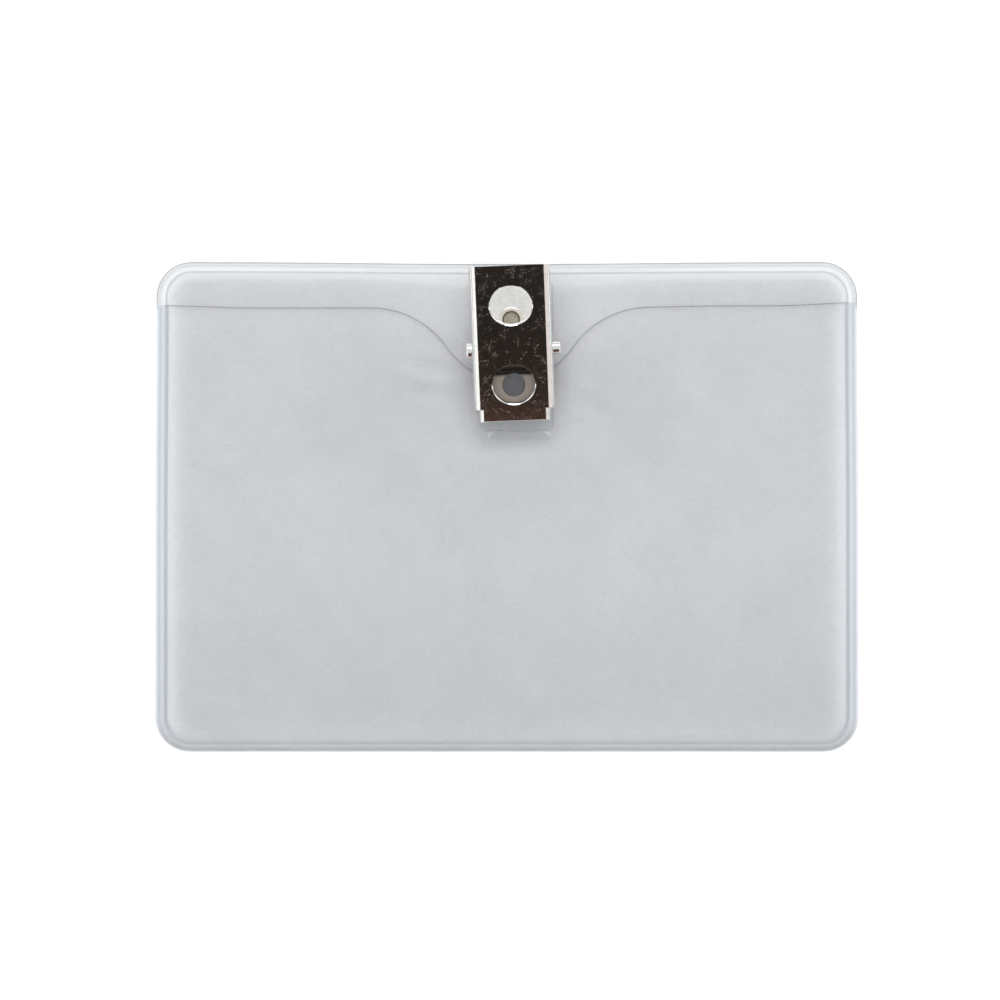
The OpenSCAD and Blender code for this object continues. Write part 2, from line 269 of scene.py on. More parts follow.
def triangulate(points, loops, keep):
    """Triangles over points, cut to the closed loops (lists of indices), kept where keep is true."""
    edges = [(l[k], l[(k + 1) % len(l)]) for l in loops for k in range(len(l))]
    verts, _, faces, *_ = delaunay_2d_cdt([Vector(p) for p in points], edges, [], 1, 1e-6)
    pts = np.array([(v.x, v.y) for v in verts])
    tris = np.array([f for f in faces if len(f) == 3])
    centre = pts[tris].mean(1)
    return pts, tris[keep(centre[:, 0], centre[:, 1])]


FLAT = {}


def slab(name, pts, tris, top, bottom, bulge=0.05, lip=False):
    """A closed thin piece: the triangles at heights top and bottom, joined round their edges.

    FLAT keeps where each vertex lies on the undistorted outline."""
    used = np.unique(tris)
    new = -np.ones(len(pts), int)
    new[used] = np.arange(len(used))
    pts, tris = pts[used], new[tris]
    n = len(pts)
    count = {}
    for t in tris:
        for k in range(3):
            e = (int(t[k]), int(t[(k + 1) % 3]))
            count[tuple(sorted(e))] = None if tuple(sorted(e)) in count else e
    rim = [e for e in count.values() if e is not None]
    normal = np.zeros((n, 2))
    for a, b in rim:
        d = pts[b] - pts[a]
        out = np.array([d[1], -d[0]]) / (np.linalg.norm(d) + 1e-12)
        normal[a] += out
        normal[b] += out
    length = np.linalg.norm(normal, axis=1)
    normal[length > 0] /= length[length > 0][:, None]
    zt, zb = top(pts[:, 0], pts[:, 1]), bottom(pts[:, 0], pts[:, 1])
    ids = sorted({v for e in rim for v in e})
    mid = {v: 2 * n + k for k, v in enumerate(ids)}
    x, y = draw_in(pts[:, 0], pts[:, 1]), pts[:, 1] - sag(pts[:, 0], pts[:, 1])
    if lip:
        y = y + lip_rise(pts[:, 0], pts[:, 1])
    FLAT[name] = np.vstack([pts, pts, pts[ids]])
    verts = [(x[k], y[k], zt[k]) for k in range(n)] + [(x[k], y[k], zb[k]) for k in range(n)]
    verts += [(x[v] + bulge * normal[v, 0], y[v] + bulge * normal[v, 1], (zt[v] + zb[v]) / 2) for v in ids]
    faces = [tuple(int(i) for i in t) for t in tris] + [tuple(int(i) + n for i in t[::-1]) for t in tris]
    for a, b in rim:
        faces.append((b, a, mid[a], mid[b]))
        faces.append((mid[b], mid[a], a + n, b + n))
    return new_object(name, verts, faces)


def attribute(obj, name, values):
    a = obj.data.attributes.new(name, "FLOAT", "POINT")
    a.data.foreach_set("value", np.asarray(values, np.float32))


def places(obj):
    co = np.zeros(len(obj.data.vertices) * 3)
    obj.data.vertices.foreach_get("co", co)
    return co.reshape(-1, 3) / MM


INSETS = (0.05, 0.16, 0.28, 0.38, 0.48, 0.58, 0.68, 0.78, 0.88, 0.98, 1.1, 1.2, 1.3, 1.4, 1.5,
          1.6, 1.72, 1.85, 2.0, 2.2, 2.5, 2.9, 3.4, 4.0)


def scatter(keep, step, box):
    """A staggered grid of points inside keep."""
    x0, x1, y0, y1 = box
    out = []
    for j, y in enumerate(np.arange(y0, y1, step * 0.866)):
        xs = np.arange(x0 + (step / 2 if j % 2 else 0), x1, step)
        ok = keep(xs, np.full_like(xs, y))
        out += [(float(x), float(y)) for x, o in zip(xs, ok) if o]
    return out


def circle(cx, cy, r, n=40):
    turns = [2 * math.pi * k / n for k in range(n)]
    return [(cx + r * math.cos(a), cy + r * math.sin(a)) for a in turns]


def bottom_order(p):
    """Sort key that runs along the bottom edge and round its two corners, left to right."""
    tie = p[1] * 0.001
    return p[0] + (tie if p[0] > 0 else -tie)


def fine_zone(x, y):
    return (np.abs(x - 1.0) < 19) & (y > 1) & (y < 29.4)


# ---- the back sheet ----
def build_back():
    points, outer = [], None
    for d in INSETS:
        loop = edge_loop(d)
        if outer is None:
            outer = list(range(len(loop)))
        points += loop
    hole = None
    for r in (HOLE_R, HOLE_R + 0.3, HOLE_R + 0.7):
        ring = circle(*EYELET, r)
        if hole is None:
            hole = list(range(len(points), len(points) + len(ring)))
        points += ring

    def inside(x, y, gap):
        return (inset_of(x, y) > 4.0 + gap) & (np.hypot(x - EYELET[0], y - EYELET[1]) > HOLE_R + 0.9)

    points += scatter(lambda x, y: inside(x, y, 0.5) & ~fine_zone(x, y), 1.05, (-46, 46, -32, 32))
    points += scatter(lambda x, y: inside(x, y, 0.3) & fine_zone(x, y), 0.5, (-20, 21, 0, 31))
    keep = lambda x, y: np.hypot(x - EYELET[0], y - EYELET[1]) > HOLE_R - 0.01
    pts, tris = triangulate(points, [outer, hole], keep)
    return slab(
        "back_film", pts, tris,
        lambda x, y: back_mid(x, y) + FILM / 2,
        lambda x, y: back_mid(x, y) - FILM / 2,
    )


# ---- the notched sheet ----
def build_front():
    half = POUCH_W / 2
    first = edge_loop(INSETS[0])
    start = min(range(len(first)), key=lambda k: (first[k][1] - MOUTH_Y) ** 2 + (first[k][0] - half) ** 2)
    ring = [first[(start + k) % len(first)] for k in range(len(first))]
    side = [p for p in ring if p[1] < MOUTH_Y - 0.35]
    right = sorted([p for p in side if p[0] > 0 and p[1] > -POUCH_H / 2 + CORNER], key=lambda p: p[1])
    left = sorted([p for p in side if p[0] < 0 and p[1] > -POUCH_H / 2 + CORNER], key=lambda p: -p[1])
    low = [p for p in first if p[1] <= -POUCH_H / 2 + CORNER]
    low.sort(key=bottom_order)
    lip = [p for p in mouth_line(0.05) if abs(p[0]) < half - 0.06]
    lip = [(-half + 0.05, MOUTH_Y - 0.05)] + lip + [(half - 0.05, MOUTH_Y - 0.05)]
    boundary = low + right + lip[::-1] + left
    points = list(boundary)
    outer = list(range(len(boundary)))
    for d in INSETS[1:]:
        points += [p for p in edge_loop(d) if p[1] < float(mouth(p[0])) - 0.3]
    for drop in (0.09, 0.14, 0.2, 0.26, 0.32, 0.4, 0.55, 0.8, 1.05, 1.4):
        points += [p for p in mouth_line(drop) if float(inset_of(*p)) > 0.3]

    def inside(x, y, gap):
        return (inset_of(x, y) > 4.0 + gap) & (y < mouth(x) - 1.6 - gap)

    points += scatter(lambda x, y: inside(x, y, 0.5), 1.05, (-46, 46, -32, 30))
    keep = lambda x, y: (inset_of(x, y) > 0) & (y < mouth(x) + 0.02)
    pts, tris = triangulate(points, [outer], keep)
    return slab(
        "notched_film", pts, tris,
        lambda x, y: front_mid(x, y) + FILM / 2,
        lambda x, y: front_mid(x, y) - FILM / 2,
        lip=True,
    )


# ---- the weld between them ----
def build_weld():
    insets = (0.12, 0.3, 0.5, 0.75, 1.0, 1.25, 1.4, 1.5)
    half = POUCH_W / 2
    points, loops = [], []
    rows = []
    for d in insets:
        loop = edge_loop(d)
        path = [p for p in loop if p[1] < MOUTH_Y - 0.4]
        right = sorted([p for p in path if p[0] > 0 and p[1] > -POUCH_H / 2 + CORNER], key=lambda p: -p[1])
        left = sorted([p for p in path if p[0] < 0 and p[1] > -POUCH_H / 2 + CORNER], key=lambda p: p[1])
        low = sorted([p for p in path if p[1] <= -POUCH_H / 2 + CORNER], key=lambda p: -bottom_order(p))
        end = MOUTH_Y - 0.1
        rows.append([(half - d, end)] + right + low + left + [(-half + d, end)])
    outer = []
    for k, row in enumerate(rows):
        first = len(points)
        points += row
        ids = list(range(first, first + len(row)))
        if k == 0:
            outer = ids
        if k == len(rows) - 1:
            inner = ids
    ends = [[], []]
    total = 0
    for k, row in enumerate(rows):
        ends[0].append(total)
        ends[1].append(total + len(row) - 1)
        total += len(row)
    loop = outer + ends[1][1:-1] + inner[::-1] + ends[0][1:-1][::-1]
    keep = lambda x, y: (inset_of(x, y) < insets[-1] + 0.004) & (y < MOUTH_Y)
    pts, tris = triangulate(points, [loop], keep)
    return slab(
        "weld_bead", pts, tris,
        lambda x, y: np.maximum(back_mid(x, y) - FILM / 2 - 0.004, front_mid(x, y) + FILM / 2 + 0.02),
        lambda x, y: front_mid(x, y) + FILM / 2 + 0.004,
        bulge=0.03,
        lip=True,
    )


# ---- the patch under the clip ----
def build_patch():
    cx, w, y0, y1, r = PATCH
    points, outer = [], None
    for d in (0.04, 0.14, 0.26, 0.42, 0.62, 0.85, 1.1):
        loop = rounded(w - 2 * d, y1 - y0 - 2 * d, max(r - d, 0.15), cx, (y0 + y1) / 2, step=0.4, arc=8)
        if outer is None:
            outer = list(range(len(loop)))
        points += loop
    hole = None
    for rr in (HOLE_R, HOLE_R + 0.3):
        ring = circle(*EYELET, rr)
        if hole is None:
            hole = list(range(len(points), len(points) + len(ring)))
        points += ring

    def inside(x, y):
        return (np.abs(x - cx) < w / 2 - 1.4) & (y > y0 + 1.4) & (y < y1 - 1.4) & (
            np.hypot(x - EYELET[0], y - EYELET[1]) > 2.0)

    points += scatter(inside, 0.6, (cx - w / 2, cx + w / 2, y0, y1))
    keep = lambda x, y: np.hypot(x - EYELET[0], y - EYELET[1]) > HOLE_R - 0.01
    pts, tris = triangulate(points, [outer, hole], keep)

    def lift(x, y):
        d = np.minimum(w / 2 - np.abs(x - cx), y - y0)
        return 0.05 * (1 - smooth(0.1, 0.9, d))

    base = lambda x, y: back_mid(x, y) + FILM / 2 + 0.004
    return slab(
        "clip_strip", pts, tris,
        lambda x, y: base(x, y) + FILM - 0.01 - lift(x, y),
        base,
    )


def build_tab():
    """The weld tab's raised bar, below the strip's end."""
    cx, w, y0 = TAB
    y1 = PATCH[2] + 0.02
    points, outer = [], None
    for d in (0.03, 0.13, 0.25, 0.4):
        loop = rounded(w - 2 * d, y1 - y0 - 2 * d, max(0.6 - d, 0.06), cx, (y0 + y1) / 2, step=0.3, arc=8)
        if outer is None:
            outer = list(range(len(loop)))
        points += loop
    pts, tris = triangulate(points, [outer], lambda x, y: np.full(len(x), True))

    def top(x, y):
        d = np.minimum(w / 2 - np.abs(x - cx), y1 - y)
        swell = smooth(0.02, 0.4, d) * smooth(y0, y1 - 0.2, y)
        return back_mid(x, y) + FILM / 2 + 0.02 + 0.13 * swell

    return slab("weld_tab", pts, tris, top, lambda x, y: back_mid(x, y) + FILM / 2 + 0.004, bulge=0.02)


# ---- the spring ----
def build_spring():
    """The strip bent round the front of the pin, with its two arms."""
    mid_r = STRIP_R - STRIP_T / 2
    path = []
    for k in range(8):
        path.append(((LOWER_ARM * (1 - k / 8), -mid_r), 270))
    for k in range(45):
        a = 270 - (180 - TILT) * k / 44
        path.append(((mid_r * math.cos(math.radians(a)), mid_r * math.sin(math.radians(a))), a))
    along = (math.cos(math.radians(TILT)), math.sin(math.radians(TILT)))
    end = path[-1][0]
    for k in range(1, 15):
        reach = UPPER_ARM * k / 14
        path.append(((end[0] + along[0] * reach, end[1] + along[1] * reach), 90 + TILT))
    w, t, c, hold = STRIP_W / 2, STRIP_T / 2, 0.09, 0.14
    corner = [(-w + c + hold, t), (w - c - hold, t), (w - c, t), (w, t - c), (w, c - t), (w - c, -t),
              (w - c - hold, -t), (-w + c + hold, -t), (-w + c, -t), (-w, c - t), (-w, t - c), (-w + c, t)]
    rows = []
    for k, ((y, z), a) in enumerate(path):
        ends = k in (0, len(path) - 1)
        out = (math.cos(math.radians(a)), math.sin(math.radians(a)))
        rows.append([(u * (0.99 if ends else 1), y + out[0] * n * (0.6 if ends else 1),
                      z + out[1] * n * (0.6 if ends else 1)) for u, n in corner])
    sides = len(corner)
    verts = [clip(u, PIN[0] + y, PIN[1] + z) for row in rows for u, y, z in row]
    faces = []
    for i in range(len(rows) - 1):
        for k in range(sides):
            j = (k + 1) % sides
            faces.append((i * sides + k, i * sides + j, (i + 1) * sides + j, (i + 1) * sides + k))
    faces.append(tuple(range(sides)))
    faces.append(tuple(range(len(verts) - sides, len(verts)))[::-1])
    return new_object("spring_strip", verts, faces)


back = build_back()
front = build_front()
weld = build_weld()
strip = build_patch()
tab = build_tab()
spring = build_spring()


# ---- what the film's border looks like ----
# A seal bar presses grooves into the film. Each is (place as a share of the weld's width,
# half-width in mm, how much it dims one face): a shallow one, a deeper one and a thin bead
# on the sides, a broad foot along the bottom, and the cut edge with its fold line on top.
SIDE_GROOVES = ((0.35, 0.20, 0.09), (0.90, 0.15, 0.11), (1.05, 0.08, 0.15))
BOTTOM_GROOVES = ((0.20, 0.30, 0.17), (0.75, 0.15, 0.07))
TOP_GROOVES = ((0.00, 0.15, 0.40), (0.30, 0.25, 0.10), (0.90, 0.12, 0.16))
# The whole border darkens slightly towards the closed end
CLOSED_END_DIM = 0.022
# Past the weld the sheets stay pressed together for a little way, with no air between them
CLEAR_PAST_WELD = 0.35
CLEAR_FADE = 0.4
BOTTOM_CLEAR = 0.25
# The mouth's cut edge is dark, and light catches the lip just below it
LIP_DIM, LIP_EDGE = 0.25, 0.14
LIP_WHITE, LIP_WIDTH = 0.22, 0.2


def pressed(d, grooves):
    """How much light one face lets through, at d in from the edge."""
    light = np.ones_like(d)
    for place, half_width, dim in grooves:
        light = light * (1 - dim * np.exp(-(((d - place * WELD) / half_width) ** 2)))
    return light


def lip_distance(x, y):
    slope = (mouth(x + 0.01) - mouth(x - 0.01)) / 0.02
    return (mouth(x) - y) / np.sqrt(1 + slope**2)


def mark_border(obj, is_back):
    """Stores how clear each point of a sheet is, and how much its pressed lines darken it."""
    x, y = FLAT[obj.name].T
    d = inset_of(x, y)
    top, low = smooth(26.6, 28.2, y), smooth(-28.6, -32.2, y)
    side = (1 - top) * (1 - low)
    fused = 1 - smooth(WELD + CLEAR_PAST_WELD, WELD + CLEAR_PAST_WELD + CLEAR_FADE, d)
    folded = 1 - smooth(WELD, WELD + CLEAR_FADE, d)
    clear = side * fused + top * folded + low * folded * BOTTOM_CLEAR
    white = np.zeros(len(x))
    if is_back:
        line = side * pressed(d, SIDE_GROOVES) + top * pressed(d, TOP_GROOVES)
        line = line + low * pressed(d, BOTTOM_GROOVES)
        line = line * (1 - CLOSED_END_DIM * smooth(-2, -31, y))
    else:
        gap = lip_distance(x, y)
        seen = (d > 1.2) * smooth(3.0, 5.0, np.abs(x - NOTCH_X))
        line = 1 - LIP_DIM * (1 - smooth(LIP_EDGE / 2, LIP_EDGE, gap)) * seen
        lower_end = LIP_EDGE + LIP_WIDTH
        shine = smooth(LIP_EDGE, 0.2, gap) * (1 - smooth(lower_end, lower_end + 0.4 * LIP_WIDTH, gap))
        white = LIP_WHITE * shine * seen
    store(obj, clear, line, white)


def store(obj, clear, line, white):
    for name, values in (("clear", clear), ("line", line), ("white", white)):
        attribute(obj, name, np.broadcast_to(values, len(obj.data.vertices)))


def mark_outline(obj, cx, cy, w, h):
    """A small piece with straight sides has a faintly darker rim."""
    co = places(obj)
    d = np.minimum(w / 2 - np.abs(co[:, 0] - cx), h / 2 - np.abs(co[:, 1] - cy))
    store(obj, 0.6, 1 - 0.07 * (1 - smooth(0.05, 0.22, d)), 0)


def mark_tab(obj):
    """Light catches the weld tab's two upper corners."""
    co = places(obj)
    cx, w, _ = TAB
    out = np.abs(co[:, 0] - cx) - (w / 2 - 0.9)
    up = co[:, 1] - (PATCH[2] - 0.9)
    arc = np.hypot(np.maximum(out, 0), np.maximum(up, 0))
    store(obj, 0.5, 1, 0.15 * smooth(0.62, 0.8, arc) * (out > -0.1) * (up > -0.35))


mark_border(back, True)
mark_border(front, False)
store(weld, 1, 1, 0)
mark_outline(strip, PATCH[0], (PATCH[2] + PATCH[3]) / 2, PATCH[1], PATCH[3] - PATCH[2])
mark_tab(tab)


# ---- materials ----
class Nodes:
    """Short helpers to wire one material."""

    def __init__(self, name):
        self.mat = bpy.data.materials.new(name)
        self.mat.use_nodes = True
        self.tree = self.mat.node_tree
        self.tree.nodes.clear()
        self.out = self.add("ShaderNodeOutputMaterial")

    def add(self, kind, **settings):
        n = self.tree.nodes.new(kind)
        for k, v in settings.items():
            setattr(n, k, v)
        return n

    def link(self, a, b):
        self.tree.links.new(a, b)

    def coords(self, scale=(1, 1, 1), turn=(0, 0, 0)):
        c = self.add("ShaderNodeTexCoord")
        m = self.add("ShaderNodeMapping")
        m.inputs["Scale"].default_value = scale
        m.inputs["Rotation"].default_value = turn
        self.link(c.outputs["Object"], m.inputs["Vector"])
        return m.outputs["Vector"]

    def noise(self, vector, scale, detail=3, rough=0.5):
        n = self.add("ShaderNodeTexNoise")
        n.inputs["Scale"].default_value = scale
        n.inputs["Detail"].default_value = detail
        n.inputs["Roughness"].default_value = rough
        self.link(vector, n.inputs["Vector"])
        return n.outputs["Fac"]

    def ramp(self, value, stops, mode="LINEAR"):
        r = self.add("ShaderNodeValToRGB")
        r.color_ramp.interpolation = mode
        e = r.color_ramp.elements
        while len(e) < len(stops):
            e.new(0.5)
        for k, (at, c) in enumerate(stops):
            e[k].position = at
            e[k].color = (*c, 1) if len(c) == 3 else c
        self.link(value, r.inputs["Fac"])
        return r.outputs["Color"]

    def math(self, op, a, b=None, clamp=False):
        m = self.add("ShaderNodeMath", operation=op, use_clamp=clamp)
        for k, v in enumerate((a, b)):
            if v is None:
                continue
            if isinstance(v, (int, float)):
                m.inputs[k].default_value = v
            else:
                self.link(v, m.inputs[k])
        return m.outputs[0]

    def mix(self, kind, fac, a, b):
        m = self.add("ShaderNodeMix", data_type="RGBA", blend_type=kind)
        for sock, v in ((m.inputs[0], fac), (m.inputs[6], a), (m.inputs[7], b)):
            if isinstance(v, (int, float)):
                sock.default_value = v
            elif isinstance(v, tuple):
                sock.default_value = (*v, 1)
            else:
                self.link(v, sock)
        return m.outputs[2]

    def attr(self, name):
        return self.add("ShaderNodeAttribute", attribute_name=name).outputs["Fac"]

    def scaled(self, value, lo, hi):
        m = self.add("ShaderNodeMapRange")
        m.inputs["From Min"].default_value = lo
        m.inputs["From Max"].default_value = hi
        self.link(value, m.inputs["Value"])
        return m.outputs["Result"]

    def bump(self, height, distance, strength=1.0):
        b = self.add("ShaderNodeBump")
        b.inputs["Distance"].default_value = distance
        b.inputs["Strength"].default_value = strength
        self.link(height, b.inputs["Height"])
        return b.outputs["Normal"]


def grey(v):
    return (v, v, v)


# Fused film is clearer than loose film, but still a little grey
FUSED_TINT = (0.968, 0.972, 0.977)
# The darker patch below the clip, in metres: its middle, half-width, top and bottom, and where and how
# steeply its lower corners are cut off
DARKER_X, DARKER_HALF, DARKER_TOP, DARKER_LOW = -0.0022, 0.0275, 0.0235, -0.0005
DARKER_FLAT, DARKER_CUT = 0.014, 0.62


def film_material(name, tint, haze, gloss=1.0, spread=0.0, darker_patch=0.0):
    """Clear vinyl: see-through with a faint haze, a glossy skin and handling marks.

    gloss below 1 is for a sheet that lies wetted against its neighbour, and spread
    is how much its tint varies."""
    n = Nodes(name)
    where = n.coords()
    skin = n.add("ShaderNodeBsdfPrincipled")
    shine = n.math("MULTIPLY", n.attr("white"), 6.0, clamp=True)
    n.link(n.mix("MIX", shine, (0.84, 0.85, 0.87), (1.0, 1.0, 1.0)), skin.inputs["Base Color"])
    skin.inputs["IOR"].default_value = 1.53
    skin.inputs["Roughness"].default_value = 0.14
    see_through = n.add("ShaderNodeBsdfTransparent")
    clear, line = n.attr("clear"), n.attr("line")
    blotch = n.scaled(n.noise(where, 90, 4, 0.6), 0.25, 0.75)
    grain = n.scaled(n.noise(where, 2000, 3, 0.7), 0.3, 0.7)
    blotch = n.math("ADD", n.math("MULTIPLY", blotch, 0.35), n.math("MULTIPLY", grain, 0.65))
    darker = tuple(c * (1 - spread) for c in tint)
    lighter = tuple(min(c * (1 + spread), 1) for c in tint)
    colour = n.mix("MIX", blotch, darker, lighter)
    cover = n.math("MULTIPLY", n.scaled(n.noise(where, 420, 4, 0.65), 0.3, 0.7), haze)
    cover = n.math("ADD", cover, haze * 0.5)
    if darker_patch:
        # a faint darker patch below the clip
        sep = n.add("ShaderNodeSeparateXYZ")
        n.link(where, sep.inputs[0])
        wobble = n.math("MULTIPLY", n.math("SUBTRACT", n.noise(where, 70, 5, 0.65), 0.5), 0.010)
        out = n.math("ABSOLUTE", n.math("ADD", sep.outputs[0], -DARKER_X))
        side = n.math("SUBTRACT", DARKER_HALF, n.math("ADD", out, wobble))
        slope = n.math("MULTIPLY", n.math("MAXIMUM", n.math("SUBTRACT", out, DARKER_FLAT), 0.0), -DARKER_CUT)
        low = n.math("ADD", n.math("ADD", sep.outputs[1], -DARKER_LOW), n.math("ADD", slope, wobble))
        high = n.math("SUBTRACT", n.math("ADD", DARKER_TOP, wobble), sep.outputs[1])
        inside = n.math("MINIMUM", n.math("MINIMUM", side, low), high)
        amount = n.math("MULTIPLY", n.scaled(inside, 0.0, 0.0045), darker_patch)
        colour = n.mix("MULTIPLY", amount, colour, (0.9, 0.9, 0.905))
    colour = n.mix("MIX", clear, colour, FUSED_TINT)
    colour = n.mix("MULTIPLY", 1.0, colour, line)
    n.link(colour, see_through.inputs["Color"])
    height = n.math("ADD", n.math("MULTIPLY", n.noise(where, 900, 3, 0.6), 0.35), n.noise(where, 60, 4, 0.55))
    normal = n.bump(height, 0.00010, 0.35)
    n.link(normal, skin.inputs["Normal"])
    fresnel = n.add("ShaderNodeFresnel")
    fresnel.inputs["IOR"].default_value = 1.45
    n.link(normal, fresnel.inputs["Normal"])
    keep = n.math("SUBTRACT", gloss, n.math("MULTIPLY", clear, 0.8 * gloss))
    fac = n.math("MULTIPLY", n.math("ADD", cover, fresnel.outputs[0]), keep)
    fac = n.math("ADD", fac, n.attr("white"), clamp=True)
    m = n.add("ShaderNodeMixShader")
    n.link(fac, m.inputs[0])
    n.link(see_through.outputs[0], m.inputs[1])
    n.link(skin.outputs[0], m.inputs[2])
    n.link(m.outputs[0], n.out.inputs["Surface"])
    return n.mat


def steel_material(name, colour, rough, scratch, along=(400, 30, 400), patina_and_shade=None):
    """Bright plated steel: fine drawn grain, hairline scratches and small specks.

    The optional last function may return a mask, a colour with painted shade in it and extra roughness for
    part of the piece."""
    n = Nodes(name)
    where = n.coords()
    p = n.add("ShaderNodeBsdfPrincipled")
    p.inputs["Metallic"].default_value = 1.0
    grain = n.noise(n.coords(along), 6, 4, 0.6)
    cloud = n.noise(where, 1500, 5, 0.75)
    tone = n.mix("MIX", n.scaled(cloud, 0.3, 0.7), tuple(c * 0.86 for c in colour), colour)
    speck = n.add("ShaderNodeTexVoronoi", feature="F1")
    speck.inputs["Scale"].default_value = 5200
    n.link(where, speck.inputs["Vector"])
    spot = n.ramp(speck.outputs["Distance"], [(0.0, grey(1)), (0.2, grey(0.8)), (0.4, grey(0))])
    patchy = [(0.0, grey(0)), (0.50, grey(0)), (0.58, grey(1)), (1.0, grey(1))]
    gate = n.ramp(n.noise(where, 1100, 2, 0.5), patchy)
    spots = n.math("MULTIPLY", spot, gate)
    tone = n.mix("MIX", n.math("MULTIPLY", spots, 0.2), tone, tuple(c * 0.7 for c in colour))
    hair_line = [(0.0, grey(0)), (0.66, grey(0)), (0.70, grey(0.6)), (1.0, grey(0.6))]
    hair = n.ramp(n.noise(n.coords((3200, 120, 3200), (0, 0, -0.95)), 2, 6, 0.75), hair_line)
    cross = n.ramp(n.noise(n.coords((3000, 140, 3000), (0, 0, 0.6)), 2, 5, 0.75), hair_line)
    marks = n.math("ADD", n.math("MAXIMUM", hair, cross), spots)
    roughness = n.math("ADD", n.math("MULTIPLY", grain, rough * 0.8), rough * 0.6)
    roughness = n.math("ADD", roughness, n.math("MULTIPLY", marks, scratch))
    roughness = n.math("ADD", roughness, n.math("MULTIPLY", spots, 0.13))
    if patina_and_shade:
        # mixes in the returned colour, painted shade included
        mask, shaded_tone, more = patina_and_shade(n)
        tone = n.mix("MIX", mask, tone, shaded_tone)
        roughness = n.math("ADD", roughness, n.math("MULTIPLY", mask, more))
    n.link(tone, p.inputs["Base Color"])
    n.link(roughness, p.inputs["Roughness"])
    height = n.math("ADD", n.math("MULTIPLY", marks, 0.8), grain)
    n.link(n.bump(height, 0.000008, 0.2), p.inputs["Normal"])
    n.link(p.outputs[0], n.out.inputs["Surface"])
    return n.mat


# Where the painted shade and the bore's tone fade in: y along the lower lever, and radii round the eyelet's
# axis, in metres
SPRING_SHADE, UNDER_LEVER_SHADE = (0.0177, 0.0181), (0.0196, 0.0190)
BORE_WALL_SHADE, BORE_RIM = (0.0009, 0.00112), (0.00128, 0.00118)


def towards_jaw(n):
    """The lower lever is rougher under the upper one and painted darker there as shade, with near-black
    painted shade beside the spring for its shadow and reflection.
    """
    sep = n.add("ShaderNodeSeparateXYZ")
    n.link(n.coords(), sep.inputs[0])
    along = n.math("ADD", sep.outputs[1], n.math("MULTIPLY", sep.outputs[0], -0.04))
    spring_shade = n.scaled(along, *SPRING_SHADE)
    # painted shade under the upper lever, turning near-black as the spring's painted shadow and reflection
    shaded_tone = n.mix("MIX", spring_shade, (0.46, 0.40, 0.34), (0.035, 0.030, 0.026))
    return n.scaled(sep.outputs[1], *UNDER_LEVER_SHADE), shaded_tone, 0.2


def inside_bore(n):
    """The eyelet's bore is brownish, with painted shade darkening its wall."""
    offset = n.add("ShaderNodeVectorMath", operation="SUBTRACT")
    n.link(n.coords(), offset.inputs[0])
    offset.inputs[1].default_value = (EYELET[0] * MM, EYELET[1] * MM, 0)
    flat = n.add("ShaderNodeVectorMath", operation="MULTIPLY")
    n.link(offset.outputs[0], flat.inputs[0])
    flat.inputs[1].default_value = (1, 1, 0)
    length = n.add("ShaderNodeVectorMath", operation="LENGTH")
    n.link(flat.outputs[0], length.inputs[0])
    wall = n.scaled(length.outputs["Value"], *BORE_WALL_SHADE)
    # a brownish tone, painted darker towards the bore's wall as shade
    brown = n.mix("MIX", wall, (0.46, 0.42, 0.33), (0.16, 0.13, 0.09))
    return n.scaled(length.outputs["Value"], *BORE_RIM), brown, 0.12


film_back = film_material("clear_film_back", (0.9765, 0.978, 0.983), 0.03, spread=0.036, darker_patch=0.12)
film_front = film_material("clear_film_front", (1.0, 1.0, 1.0), 0.002, gloss=0.35)
film_weld = film_material("clear_film_weld", (1.0, 1.0, 1.0), 0.01)
film_strip = film_material("clear_film_strip", (0.992, 0.993, 0.994), 0.005, gloss=0.6)
NICKEL = (0.86, 0.85, 0.82)
nickel = steel_material("plated_steel", NICKEL, 0.07, 0.10)
# The lower lever's plating is painted lighter than the upper's, to offset the shade it sits in under the
# upper lever.
nickel_low = steel_material("plated_steel_lower", (0.93, 0.92, 0.89), 0.16, 0.10, patina_and_shade=towards_jaw)
nickel_pin = steel_material("plated_steel_turned", NICKEL, 0.10, 0.12, (30, 400, 400))
nickel_eyelet = steel_material("plated_eyelet", (0.84, 0.80, 0.72), 0.14, 0.15, (200, 200, 60), inside_bore)
strip_steel = steel_material("spring_strip_steel", (0.06, 0.05, 0.045), 0.30, 0.14, (30, 400, 400))

for obj, mat, nodes, slot in (
    (back, film_back, ("back_sheet",), "clear_film"),
    (front, film_front, ("front_sheet",), "clear_film"),
    (weld, film_weld, ("edge_weld",), "clear_film"),
    (strip, film_strip, ("clip_patch",), "clear_film"),
    (tab, film_strip, ("clip_patch",), "clear_film"),
):
    obj.data.materials.append(mat)
    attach(obj, "pouch")
    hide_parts(*nodes)

spring.data.materials.append(strip_steel)
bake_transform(spring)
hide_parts("flat_spring")

for name, mat in (
    ("upper_jaw", nickel),
    ("left_flange", nickel),
    ("right_flange", nickel),
    ("lower_jaw", nickel_low),
    ("hinge_pin", nickel_pin),
    ("eyelet", nickel_eyelet),
):
    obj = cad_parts[name]
    obj.data.materials.clear()
    obj.data.materials.append(mat)


# ---- floor, light and camera ----
def plain(name, colour, rough):
    n = Nodes(name)
    p = n.add("ShaderNodeBsdfPrincipled")
    p.inputs["Base Color"].default_value = (*colour, 1)
    p.inputs["Roughness"].default_value = rough
    p.inputs["Specular IOR Level"].default_value = 0.0
    n.link(p.outputs[0], n.out.inputs["Surface"])
    return n.mat


bpy.ops.mesh.primitive_plane_add(size=6, location=(0, 0, 0))
floor = bpy.context.object
floor.name = "floor"
floor.data.materials.append(plain("floor_paper", (0.93, 0.93, 0.93), 1.0))


